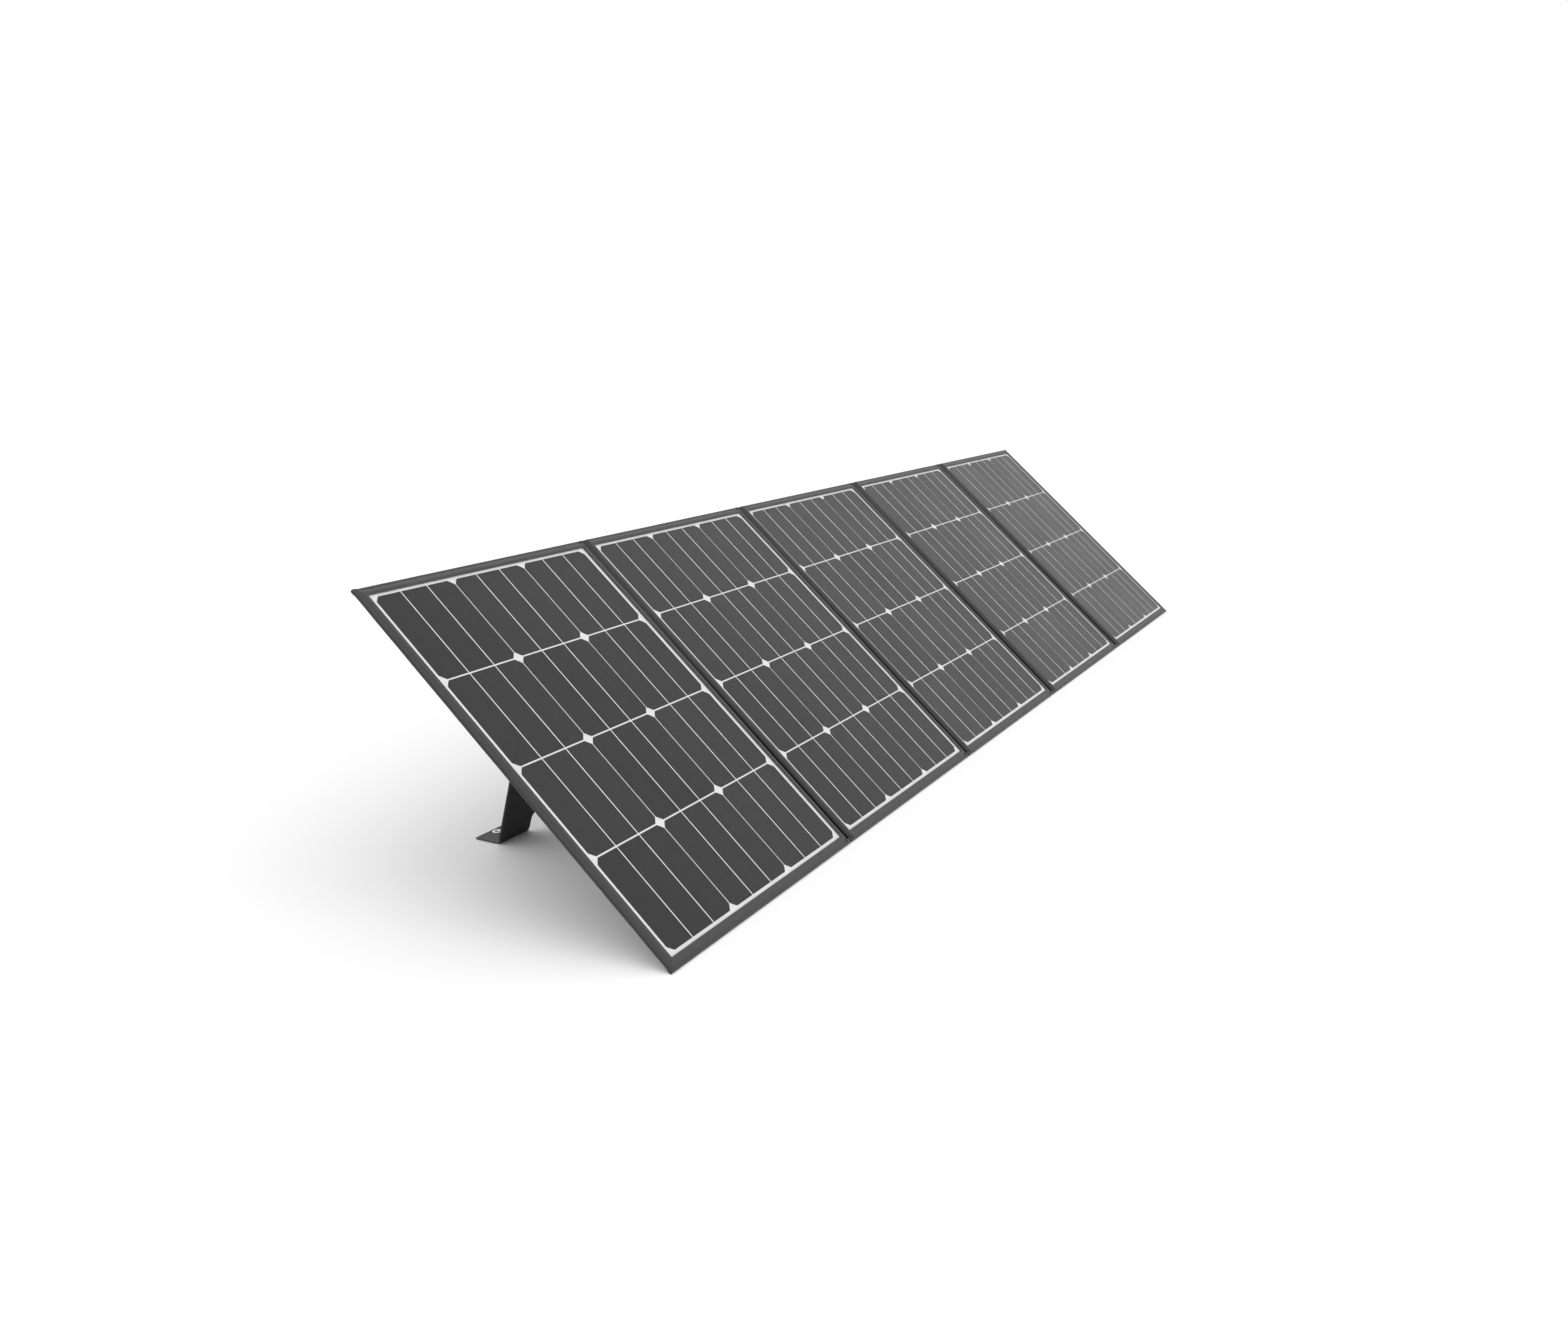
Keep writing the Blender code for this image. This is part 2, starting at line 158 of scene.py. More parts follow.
def make_sun(name, angles, strength, spread):
    data = bpy.data.lights.new(name, "SUN")
    data.energy = strength
    data.angle = math.radians(spread)
    light = new_object(name, data)
    light.rotation_euler = [math.radians(a) for a in angles]


def make_studio():
    scene = bpy.context.scene
    scene.view_settings.view_transform = "Standard"
    world = bpy.data.worlds.new("studio")
    world.use_nodes = True
    background = world.node_tree.nodes["Background"]
    background.inputs["Color"].default_value = (1, 1, 1, 1)
    background.inputs["Strength"].default_value = 1.0
    scene.world = world
    make_sun("key_sun", (35, -18, 0), 0.9, 70)
    make_sun("fill_sun", (-50, 25, 0), 0.35, 90)
    bm = bmesh.new()
    bmesh.ops.create_grid(bm, x_segments=8, y_segments=8, size=30)
    floor = new_object("floor", bm_mesh(bm, "floor"))
    floor.data.materials.append(floor_material())


# ---------------------------------------------------------------- material tools


def add(tree, kind, inputs=(), **settings):
    """A shader node: inputs are (name or index, value or socket) pairs."""
    made = tree.nodes.new(kind)
    for key, value in settings.items():
        setattr(made, key, value)
    for key, value in inputs:
        if isinstance(value, bpy.types.NodeSocket):
            tree.links.new(value, made.inputs[key])
        else:
            made.inputs[key].default_value = value
    return made


def math_node(tree, operation, a, b=0.0, c=0.0):
    return add(tree, "ShaderNodeMath", ((0, a), (1, b), (2, c)), operation=operation).outputs[0]


def new_material(name, roughness, metallic=0.0, specular=0.5, **constants):
    made = bpy.data.materials.new(name)
    made.use_nodes = True
    shader = made.node_tree.nodes["Principled BSDF"]
    shader.inputs["Roughness"].default_value = roughness
    shader.inputs["Metallic"].default_value = metallic
    shader.inputs["Specular IOR Level"].default_value = specular
    for key, value in constants.items():
        shader.inputs[key.replace("_", " ")].default_value = value
    return made, made.node_tree, shader


def plane_coordinates(tree):
    """The piece's own flat coordinates in metres, kept as a mesh attribute."""
    return add(tree, "ShaderNodeAttribute", attribute_name="plane").outputs["Vector"]


def ramp(tree, factor, stops):
    made = add(tree, "ShaderNodeValToRGB", (("Fac", factor),))
    for i, (place, grey) in enumerate(stops):
        element = made.color_ramp.elements[i] if i < 2 else made.color_ramp.elements.new(place)
        element.position = place
        element.color = (*grey, 1) if isinstance(grey, tuple) else (grey, grey, grey, 1)
    return made.outputs["Color"]


def noise_node(tree, vector, scale, detail=3.0, roughness=0.5):
    inputs = (("Vector", vector), ("Scale", scale), ("Detail", detail), ("Roughness", roughness))
    return add(tree, "ShaderNodeTexNoise", inputs).outputs["Fac"]


def bump(tree, shader, height, distance, strength=1.0, normal=None):
    inputs = [("Height", height), ("Distance", distance), ("Strength", strength)]
    if normal is not None:
        inputs.append(("Normal", normal))
    made = add(tree, "ShaderNodeBump", inputs)
    tree.links.new(made.outputs["Normal"], shader.inputs["Normal"])
    return made.outputs["Normal"]


def mix_colour(tree, factor, a, b, blend_type="MIX"):
    inputs = ((0, factor), (6, a), (7, b))
    return add(tree, "ShaderNodeMix", inputs, data_type="RGBA", blend_type=blend_type).outputs[2]


def ripple(tree, axis, pitch):
    """A sine along one coordinate, one wave for each pitch."""
    return math_node(tree, "SINE", math_node(tree, "MULTIPLY", axis, 2 * math.pi / pitch))


def woven(name, tone, pitch, fleck=0.35, rib=0.0, sheen=0.25):
    """Coated polyester cloth: warp and weft threads, melange flecks, soft patches of wear, and painted shade
    in its folds that darkens its colour and dulls its gloss.
    """
    made, tree, shader = new_material(name, 0.82, specular=0.25)
    shader.inputs["Sheen Weight"].default_value = sheen
    shader.inputs["Sheen Roughness"].default_value = 0.45
    place = plane_coordinates(tree)
    axes = add(tree, "ShaderNodeSeparateXYZ", ((0, place),))
    warp = ripple(tree, axes.outputs["X"], pitch)
    weft = ripple(tree, axes.outputs["Y"], pitch)
    over = math_node(tree, "MULTIPLY", warp, weft)
    threads = math_node(tree, "MULTIPLY_ADD", over, 0.5, 0.5)
    if rib:
        ridge = ripple(tree, axes.outputs["Y"], rib)
        threads = math_node(tree, "ADD", math_node(tree, "MULTIPLY", threads, 0.5), ridge)
    patches = noise_node(tree, place, 9.0, 4.0)
    flecks = noise_node(tree, place, 900.0, 2.0, 0.7)
    low, high = 0.72 * tone, 1.28 * tone
    base = ramp(tree, flecks, ((0.35, low), (0.65, high)))
    base = mix_colour(tree, fleck, (tone, tone, tone * 1.03, 1), base)
    thread_tint = ramp(tree, threads, ((0.0, 0.75), (1.0, 1.12)))
    base = mix_colour(tree, 0.6, base, thread_tint, "MULTIPLY")
    worn = ramp(tree, patches, ((0.3, 0.9), (0.75, 1.12)))
    base = mix_colour(tree, 1.0, base, worn, "MULTIPLY")
    # Painted shade: a per-point attribute from 0 to 1 multiplies the colour down towards 0.08 in folds and
    # creases and lowers the specular level there.
    painted_shade = add(tree, "ShaderNodeAttribute", attribute_name="painted_shade").outputs["Fac"]
    base = mix_colour(tree, painted_shade, base, (0.08, 0.08, 0.08, 1), "MULTIPLY")
    shine = math_node(tree, "MULTIPLY_ADD", painted_shade, -0.22, 0.24)
    tree.links.new(shine, shader.inputs["Specular IOR Level"])
    tree.links.new(base, shader.inputs["Base Color"])
    rough = ramp(tree, patches, ((0.2, 0.74), (0.8, 0.9)))
    tree.links.new(rough, shader.inputs["Roughness"])
    soft = noise_node(tree, place, 60.0, 3.0)
    first = bump(tree, shader, soft, 0.0006, 0.5)
    bump(tree, shader, threads, 0.00012, 0.8, first)
    return made


def cell_material():
    """Coated silicon: near black, faint silver fingers across it, and a little tone from cell to cell."""
    made, tree, shader = new_material("silicon", 0.3, specular=0.5, IOR=1.4)
    place = plane_coordinates(tree)
    axes = add(tree, "ShaderNodeSeparateXYZ", ((0, place),))
    finger = math_node(tree, "GREATER_THAN", ripple(tree, axes.outputs["Y"], FINGER_PITCH), 0.96)
    tone = add(tree, "ShaderNodeAttribute", attribute_name="tone").outputs["Fac"]
    grain = noise_node(tree, place, 45.0, 2.0)
    cloud = noise_node(tree, place, 11.0, 3.0)
    dark = ramp(tree, cloud, ((0.3, 0.008), (0.8, 0.013)))
    dark = mix_colour(tree, tone, dark, (0.017, 0.017, 0.018, 1))
    dark = mix_colour(tree, 0.2, dark, ramp(tree, grain, ((0.3, 0.01), (0.7, 0.014))))
    base = mix_colour(tree, math_node(tree, "MULTIPLY", finger, 0.14), dark, (0.05, 0.05, 0.05, 1))
    tree.links.new(base, shader.inputs["Base Color"])
    rough = ramp(tree, cloud, ((0.2, 0.26), (0.8, 0.36)))
    tree.links.new(rough, shader.inputs["Roughness"])
    bump(tree, shader, noise_node(tree, place, 12.0, 1.0), 0.0003, 0.12)
    return made


def ribbon_material():
    """Tinned copper ribbon: bright, with solder mottling."""
    made, tree, shader = new_material("ribbon", 0.4, metallic=0.15)
    place = plane_coordinates(tree)
    mottle = noise_node(tree, place, 420.0, 3.0)
    tree.links.new(ramp(tree, mottle, ((0.25, 0.66), (0.75, 0.88))), shader.inputs["Base Color"])
    tree.links.new(ramp(tree, mottle, ((0.2, 0.32), (0.8, 0.5))), shader.inputs["Roughness"])
    bump(tree, shader, mottle, 0.00005, 0.5)
    return made


def sheet_white_material():
    """White polymer backsheet, faintly mottled, with the soft emboss of the encapsulant."""
    made, tree, shader = new_material("backsheet", 0.45, specular=0.4)
    place = object_coordinates(tree)
    mottle = noise_node(tree, place, 45.0, 4.0)
    tree.links.new(ramp(tree, mottle, ((0.3, 0.60), (0.75, 0.66))), shader.inputs["Base Color"])
    bump(tree, shader, noise_node(tree, place, 900.0, 2.0), 0.00006, 0.5)
    return made


def object_coordinates(tree):
    return add(tree, "ShaderNodeTexCoord").outputs["Object"]


def film_material():
    """Clear film: only a faint haze is left of it, and the cells under it carry its sheen."""
    made, tree, shader = new_material("film", 0.4, specular=0.0, IOR=1.0)
    place = object_coordinates(tree)
    haze = noise_node(tree, place, 6.0, 3.0)
    tree.links.new(ramp(tree, haze, ((0.25, 0.1), (0.8, 0.14))), shader.inputs["Base Color"])
    tree.links.new(ramp(tree, haze, ((0.25, 0.0003), (0.8, 0.0008))), shader.inputs["Alpha"])
    return made


def moulded(name, tone, roughness, grain_scale=1400.0):
    """Moulded plastic or rubber with a fine spark-eroded grain and rubbed edges."""
    made, tree, shader = new_material(name, roughness, specular=0.4)
    place = object_coordinates(tree)
    grain = noise_node(tree, place, grain_scale, 2.0)
    cloud = noise_node(tree, place, 30.0, 3.0)
    base = ramp(tree, cloud, ((0.3, tone * 0.85), (0.7, tone * 1.2)))
    edge = add(tree, "ShaderNodeNewGeometry").outputs["Pointiness"]
    worn = ramp(tree, edge, ((0.52, 0.0), (0.6, 0.5)))
    tree.links.new(mix_colour(tree, worn, base, (tone * 2.2,) * 3 + (1,)), shader.inputs["Base Color"])
    low, high = roughness - 0.08, roughness + 0.1
    tree.links.new(ramp(tree, cloud, ((0.2, low), (0.8, high))), shader.inputs["Roughness"])
    bump(tree, shader, grain, 0.00008, 0.6)
    return made


def steel_material():
    """Nickel-plated brass: bright, with fine turning marks and small scratches."""
    made, tree, shader = new_material("steel", 0.25, metallic=1.0)
    place = object_coordinates(tree)
    scuffs = noise_node(tree, place, 500.0, 5.0, 0.7)
    tree.links.new(ramp(tree, scuffs, ((0.3, 0.45), (0.7, 0.72))), shader.inputs["Base Color"])
    tree.links.new(ramp(tree, scuffs, ((0.25, 0.18), (0.75, 0.42))), shader.inputs["Roughness"])
    bump(tree, shader, scuffs, 0.00004, 0.4)
    return made


def board_material():
    made, tree, shader = new_material("board", 0.7)
    place = object_coordinates(tree)
    fibres = noise_node(tree, place, 260.0, 5.0, 0.7)
    stops = ((0.3, (0.10, 0.09, 0.075)), (0.7, (0.21, 0.19, 0.16)))
    tree.links.new(ramp(tree, fibres, stops), shader.inputs["Base Color"])
    bump(tree, shader, fibres, 0.0001, 0.5)
    return made


def floor_material():
    made, tree, shader = new_material("studio_floor", 0.9, specular=0.1)
    place = object_coordinates(tree)
    tree.links.new(ramp(tree, noise_node(tree, place, 0.4, 2.0), ((0.3, 0.84), (0.7, 0.86))),
                   shader.inputs["Base Color"])
    return made


# ---------------------------------------------------------------- mesh tools


def new_object(name, mesh):
    made = bpy.data.objects.new(name, mesh)
    bpy.context.scene.collection.objects.link(made)
    return made


def bm_mesh(bm, name):
    mesh = bpy.data.meshes.new(name)
    bm.to_mesh(mesh)
    bm.free()
    return mesh


def mesh_of(name, points, faces, plane, material, smooth=True):
    """A mesh object from points and faces, with its flat coordinates as the attribute "plane"."""
    mesh = bpy.data.meshes.new(name)
    mesh.from_pydata([tuple(p) for p in points], [], faces)
    attribute = mesh.attributes.new("plane", "FLOAT_VECTOR", "POINT")
    attribute.data.foreach_set("vector", [c for p in plane for c in p])
    mesh.materials.append(material)
    if smooth:
        mesh.shade_smooth()
        mesh.set_sharp_from_angle(angle=math.radians(50))
    return new_object(name, mesh)


def darken(obj, values):
    """How deep in painted shade each point of a cloth lies, from 0 to 1, for its material to darken its
    colour by.
    """
    attribute = obj.data.attributes.new("painted_shade", "FLOAT", "POINT")
    attribute.data.foreach_set("value", values)


def recalculated(obj):
    bm = bmesh.new()
    bm.from_mesh(obj.data)
    bmesh.ops.recalc_face_normals(bm, faces=bm.faces)
    bm.to_mesh(obj.data)
    bm.free()
    return obj


def solidify(obj, thickness, offset=-1.0):
    modifier = obj.modifiers.new("thickness", "SOLIDIFY")
    modifier.thickness = thickness
    modifier.offset = offset
    modifier.use_even_offset = False
    return obj


def grid(name, xs, ts, height, material, place=at, keep=None):
    """A sheet over a grid of (x, t); height gives n, and keep says which cells hold a face."""
    points = [place(x, t, height(x, t)) for t in ts for x in xs]
    plane = [(x, t, 0.0) for t in ts for x in xs]
    wide = len(xs)
    faces = []
    for j in range(len(ts) - 1):
        for i in range(wide - 1):
            middle = ((xs[i] + xs[i + 1]) / 2, (ts[j] + ts[j + 1]) / 2)
            if keep is None or keep(*middle):
                first = j * wide + i
                faces.append((first, first + 1, first + wide + 1, first + wide))
    made = mesh_of(name, points, faces, plane, material)
    bm = bmesh.new()
    bm.from_mesh(made.data)
    bmesh.ops.delete(bm, geom=[v for v in bm.verts if not v.link_faces], context="VERTS")
    bm.to_mesh(made.data)
    bm.free()
    return made


def steps(low, high, step):
    count = max(1, round((high - low) / step))
    return [low + (high - low) * i / count for i in range(count + 1)]


def joined_steps(*runs):
    """Several runs of steps as one rising list, without repeats."""
    values = sorted(v for run in runs for v in run)
    kept = [values[0]]
    for v in values[1:]:
        if v - kept[-1] > 0.15 * MM:
            kept.append(v)
    return kept


def smooth_step(value, low, high):
    s = min(1.0, max(0.0, (value - low) / (high - low)))
    return s * s * (3 - 2 * s)


def wrinkle(x, t, size, seed):
    """Smooth noise from -1 to 1, size metres across."""
    return noise.noise(Vector((x / size, t / size, seed * 7.3)))


def sweep(name, stations, profile, material):
    """A closed profile of (d, n) points carried along stations, each a function from (d, n) to a place."""
    points = []
    plane = []
    along = 0.0
    last = None
    for station in stations:
        here = station(0, 0)
        along += (here - last).length if last is not None else 0.0
        last = here
        girth = 0.0
        for i, (d, n) in enumerate(profile):
            if i:
                girth += math.dist(profile[i - 1], (d, n))
            points.append(station(d, n))
            plane.append((girth, along, 0.0))
    faces = tube_faces(len(profile), len(stations))
    return recalculated(mesh_of(name, points, faces, plane, material))


def stitches(name, runs, material):
    """Lines of lock stitches: each run is (start, end, outward), and a stitch is a small raised lozenge."""
    pitch, length, width, height = STITCH
    points = []
    faces = []
    plane = []
    for start, end, outward in runs:
        line = end - start
        count = max(1, int(line.length / pitch))
        along = line.normalized()
        out = outward.normalized()
        side = along.cross(out)
        for i in range(count):
            middle = start + line * (i + 0.5) / count
            first = len(points)
            for a, b, c in STITCH_POINTS:
                offset = along * (a * length / 2) + side * (b * width / 2) + out * (c * height)
                points.append(middle + offset)
                plane.append((b * width, i * pitch + a * length, 0.0))
            for face in STITCH_FACES:
                faces.append(tuple(first + f for f in face))
    return recalculated(mesh_of(name, points, faces, plane, material, smooth=False))


def loop_runs(corners, out):
    """The sides of a closed outline, as runs of stitches."""
    return [(a, b, out) for a, b in zip(corners, corners[1:] + corners[:1])]


def tube_faces(count, rings):
    """Faces of a closed tube: rings of count points each, and a cap at both ends."""
    faces = []
    for ring in range(rings - 1):
        for i in range(count):
            j = (i + 1) % count
            first = ring * count
            faces.append((first + i, first + j, first + count + j, first + count + i))
    return faces + [tuple(range(count)), tuple((rings - 1) * count + i for i in range(count))]


def belongs(piece, slot, body, *nodes):
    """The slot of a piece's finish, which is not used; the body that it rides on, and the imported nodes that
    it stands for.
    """
    if nodes:
        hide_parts(*nodes)
    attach(piece, body)


def paint(node, material):
    """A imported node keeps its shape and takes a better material."""
    frame["nodes"][node].data.materials.clear()
    frame["nodes"][node].data.materials.append(material)


# ---------------------------------------------------------------- laminate


def cell_outline(cx, cy, segments=6):
    half = CELL / 2
    cut = math.sqrt(WAFER_RADIUS**2 - half**2)
    start = math.atan2(cut, half)
    turn = math.pi / 2 - 2 * start
    points = []
    for quarter in range(4):
        for i in range(segments + 1):
            a = start + turn * i / segments + quarter * math.pi / 2
            points.append((cx + WAFER_RADIUS * math.cos(a), cy + WAFER_RADIUS * math.sin(a)))
    return points


def make_cells(k, material, rng):
    """Twelve wafers with rounded corners, each a thin slab with its own tone."""
    points = []
    plane = []
    faces = []
    tones = []
    left = FACES[k][0] + BORDER
    bottom = FACE_T[0] + BORDER
    for column in range(COLUMNS):
        for row in range(ROWS):
            cx = left + CELL / 2 + column * (CELL + COLUMN_GAP)
            cy = bottom + CELL / 2 + row * (CELL + ROW_GAP)
            outline = cell_outline(cx, cy)
            tone = rng.random()
            tip = rng.uniform(-0.12, 0.12) * MM
            first = len(points)
            count = len(outline)
            for n, inset in ((CELL_N[0], 1.0), (CELL_N[1] - 0.08 * MM, 1.0), (CELL_N[1], 0.9985)):
                for x, y in outline:
                    lean = tip * (x - cx) / CELL
                    px = cx + (x - cx) * inset * CELL_STRETCH[0]
                    py = cy + (y - cy) * inset * CELL_STRETCH[1]
                    points.append(at(px, py, n + lean))
                    plane.append((x, y, 0.0))
                    tones.append(tone)
            for ring in range(2):
                for i in range(count):
                    j = (i + 1) % count
                    base = first + ring * count
                    faces.append((base + i, base + j, base + count + j, base + count + i))
            faces.append(tuple(first + count - 1 - i for i in range(count)))
            faces.append(tuple(first + 2 * count + i for i in range(count)))
    made = mesh_of(f"cells_{k}", points, faces, plane, material, smooth=False)
    attribute = made.data.attributes.new("tone", "FLOAT", "POINT")
    attribute.data.foreach_set("value", tones)
    belongs(made, "silicon", f"panel_{k}", f"cell_string_{k}")


def make_ribbons(k, material):
    """Two crowned ribbons on each column of cells, and the cross ribbons under the textile."""
    width = RIBBON_WIDTH
    reach = 7 * MM
    left = FACES[k][0] + BORDER
    low, high = FACE_T[0] + BORDER - reach, FACE_T[1] - BORDER + reach
    low_n, high_n = CELL_N[1] + 0.02 * MM, RIBBON_N
    profile = [(-width / 2, low_n), (width / 2, low_n), (width / 2, high_n - 0.1 * MM),
               (width / 4, high_n), (-width / 4, high_n), (-width / 2, high_n - 0.1 * MM)]
    pieces = []
    for column in range(COLUMNS):
        for third in (1, 2):
            x = left + column * (CELL + COLUMN_GAP) + CELL * third / 3
            stations = [lambda d, n, t=t, x=x: at(x + d, t, n) for t in steps(low, high, 32 * MM)]
            pieces.append(sweep(f"ribbon_{k}_{column}_{third}", stations, profile, material))
    cross = [(-1.5 * MM, low_n), (1.5 * MM, low_n), (1.5 * MM, high_n), (-1.5 * MM, high_n)]
    for t in (low, high):
        ends = (left + 4 * MM, FACES[k][1] - BORDER - 4 * MM)
        stations = [lambda d, n, t=t, x=x: at(x, t + d, n) for x in ends]
        pieces.append(sweep(f"cross_ribbon_{k}_{round(t / MM)}", stations, cross, material))
    made = join(pieces, f"ribbons_{k}")
    belongs(made, "steel", f"panel_{k}")


def join(pieces, name):
    """Several mesh objects become one piece."""
    bm = bmesh.new()
    materials = []
    for piece in pieces:
        for m in piece.data.materials:
            if m not in materials:
                materials.append(m)
    for piece in pieces:
        before = len(bm.faces)
        bm.from_mesh(piece.data)
        bm.faces.ensure_lookup_table()
        slot = materials.index(piece.data.materials[0])
        for face in bm.faces[before:]:
            face.material_index = slot
    mesh = bm_mesh(bm, name)
    for m in materials:
        mesh.materials.append(m)
    for piece in pieces:
        bpy.data.objects.remove(piece)
    return new_object(name, mesh)


# ---------------------------------------------------------------- textile of the panels


def board_edge(k, side):
    """x of the stiffener board's edge, side 0 on the left and 1 on the right."""
    out = BOARD_MARGIN - BORDER
    return FACES[k][0] - out if side == 0 else FACES[k][1] + out


def cloth_ends(k, inset, lap):
    """x of both ends of a panel's cloth: inset from a free side, lapped past the board at a hinge."""
    return (EDGES[k][0] + inset if k == 1 else board_edge(k, 0) - lap,
            EDGES[k][1] - inset if k == 5 else board_edge(k, 1) + lap)


def front_height(k):
    """n of the front textile: a turned lip at the window, flat over the board, lower beyond its edge."""

    def height(x, t):
        dx = max(WINDOWS[k][0] - x, x - WINDOWS[k][1], 0.0)
        dt = max(WINDOW_T[0] - t, t - WINDOW_T[1], 0.0)
        d = max(dx, dt)
        lip = (1 - smooth_step(d, 0, 1.3 * MM)) * 0.75 * MM
        beyond = smooth_step(d, 4.6 * MM, 9.5 * MM) * HEM_DROP
        slack = (wrinkle(x, t, 38 * MM, k) + 0.6 * wrinkle(x, t, 13 * MM, k + 20)) * 0.22 * MM
        return FACE_N - 0.15 * MM - lip - beyond + slack * smooth_step(d, 0.5 * MM, 4 * MM)

    return height


def make_front_textile(k, material):
    left, right = cloth_ends(k, CLOTH_INSET, 1.5 * MM)
    bottom, top = CLOTH_INSET, HEIGHT - CLOTH_INSET
    fine = 1.1 * MM
    window = WINDOWS[k]
    xs = joined_steps(steps(left, window[0], fine), steps(*window, 7 * MM), steps(window[1], right, fine))
    ts = joined_steps(steps(bottom, WINDOW_T[0], fine), steps(*WINDOW_T, 7 * MM),
                      steps(WINDOW_T[1], top, fine))

    def keep(x, t):
        return not (window[0] < x < window[1] and WINDOW_T[0] < t < WINDOW_T[1])

    made = grid(f"front_textile_{k}", xs, ts, front_height(k), material, keep=keep)
    solidify(made, CLOTH)
    belongs(made, "textile", f"panel_{k}", f"front_frame_{k}")


def make_back_textile(k, material):
    """The back cover, drawn tight over the board, with the board's edge showing through."""
    left, right = cloth_ends(k, CLOTH_INSET, 1.5 * MM)
    xs = joined_steps(steps(left, left + 16 * MM, 1.6 * MM), steps(left + 16 * MM, right - 16 * MM, 8 * MM),
                      steps(right - 16 * MM, right, 1.6 * MM))
    bottom, top = CLOTH_INSET, HEIGHT - CLOTH_INSET
    ts = joined_steps(steps(bottom, bottom + 16 * MM, 1.6 * MM),
                      steps(bottom + 16 * MM, top - 16 * MM, 8 * MM), steps(top - 16 * MM, top, 1.6 * MM))

    def height(x, t):
        dx = max(board_edge(k, 0) - x, x - board_edge(k, 1), 0.0)
        dt = max(FACE_T[0] - 4 * MM - t, t - FACE_T[1] - 4 * MM, 0.0)
        inward = smooth_step(max(dx, dt), 0.3 * MM, 6 * MM) * HEM_RISE
        slack = (wrinkle(x, t, 70 * MM, k + 40) + 0.5 * wrinkle(x, t, 22 * MM, k + 60)) * 0.16 * MM
        return 0.2 * MM + inward + slack

    made = grid(f"back_textile_{k}", xs, ts, height, material)
    solidify(made, CLOTH, offset=1.0)
    belongs(made, "textile", f"panel_{k}", f"back_cover_{k}")


def hinge_span(k):
    """x of both ends of the hinge strip between panels k and k + 1, just over the boards."""
    return board_edge(k, 1) - STRIP_LAP, board_edge(k + 1, 0) + STRIP_LAP


def bends_at_hinge(piece, k):
    at(board_edge(k, 1), 0, 0)
    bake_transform(piece)


def make_hinge_strips(k, material):
    """The two layers of cloth between two boards: a sagging valley in front, a shallower one behind, with
    painted shade down the middle of the fold.
    """
    low, high = hinge_span(k)
    middle = HINGE_X[k]
    half = (high - low) / 2
    xs = steps(low, high, 1.1 * MM)
    ts = steps(CLOTH_INSET, HEIGHT - CLOTH_INSET, 4 * MM)

    def depth(t):
        """How far the cloth is folded in, from 0 to 1: least at the top, most near the bottom."""
        return 0.3 + 0.7 * (1 - smooth_step(t, 0.25 * HEIGHT, 0.92 * HEIGHT))

    def fold(x, t):
        return smooth_step(1 - abs(x - middle) / half, 0.15, 1.0) * depth(t)

    # Painted shade: darkest along the middle of the fold, and more of it lower down where the fold is deeper.
    def painted_shade(x, t):
        return smooth_step(1 - abs(x - middle) / half, 0.45, 0.95) * depth(t)

    def front(x, t):
        s = 1 - abs(x - middle) / half
        end = 1 - smooth_step(min(t, HEIGHT - t), 6 * MM, 30 * MM)
        folds = wrinkle(x, t * 0.35, 5 * MM, k + 90) * (0.15 + 0.5 * end) * MM * smooth_step(s, 0, 0.4)
        return FACE_N - 0.45 * MM - fold(x, t) * 3.4 * MM + folds * (1 - 0.5 * fold(x, t))

    def back(x, t):
        s = 1 - abs(x - middle) / half
        folds = wrinkle(x, t * 0.4, 6 * MM, k + 110) * 0.25 * MM * smooth_step(s, 0, 0.4)
        return 0.55 * MM + smooth_step(s, 0.05, 1.0) * 0.3 * MM + folds

    for side, height, offset in (("front", front, -1.0), ("back", back, 1.0)):
        made = grid(f"hinge_strip_{side}_{k}{k + 1}", xs, ts, height, material)
        places = [v.co - ORIGIN for v in made.data.vertices]
        darken(made, [painted_shade(p.dot(RIGHT), p.dot(UP)) for p in places])
        solidify(made, CLOTH, offset=offset)
        bends_at_hinge(made, k)


def binding_profile(reach, swell=0.0):
    """U of folded tape round an edge: (d inward, n) on the outside, then back along the inside."""
    top, bottom = FACE_N + 0.15 * MM - HEM_DROP + swell, HEM_RISE - 0.15 * MM - swell
    middle = (top + bottom) / 2
    half = (top - bottom) / 2
    outer = [(reach, top - 0.25 * MM), (reach * 0.55, top)]
    for i in range(9):
        a = math.pi / 2 - math.pi * i / 8
        outer.append((half * 0.9 * (1 - math.cos(a)), middle + half * math.sin(a)))
    outer += [(reach * 0.55, bottom), (reach, bottom + 0.25 * MM)]
    inner = [(d + 0.5 * MM, middle + (n - middle) * 0.82) for d, n in reversed(outer[1:-1])]
    return outer + [(reach, bottom + 0.7 * MM)] + inner + [(reach, top - 0.7 * MM)]


def hem_side(top):
    """t of a hem's outer edge, the direction inward from it, and its name."""
    return (HEIGHT, -1, "top") if top else (-HEM_REACH, 1, "bottom")


def make_end_binding(k, material, top):
    """Tape along the top or bottom hem of one panel, from board edge to board edge."""
    left, right = cloth_ends(k, 0.3 * MM, TAPE_LAP)
    edge, sign, where = hem_side(top)

    def station(x):
        wave = wrinkle(x, edge, 30 * MM, k + 130) * 0.25 * MM
        return lambda d, n: at(x, edge + sign * (d + max(0.0, wave)), n + wave * 0.5)

    stations = [station(x) for x in steps(left, right, 6 * MM)]
    made = sweep(f"hem_binding_{where}_{k}", stations, binding_profile(TAPE_REACH), material)
    belongs(made, "textile", f"panel_{k}")


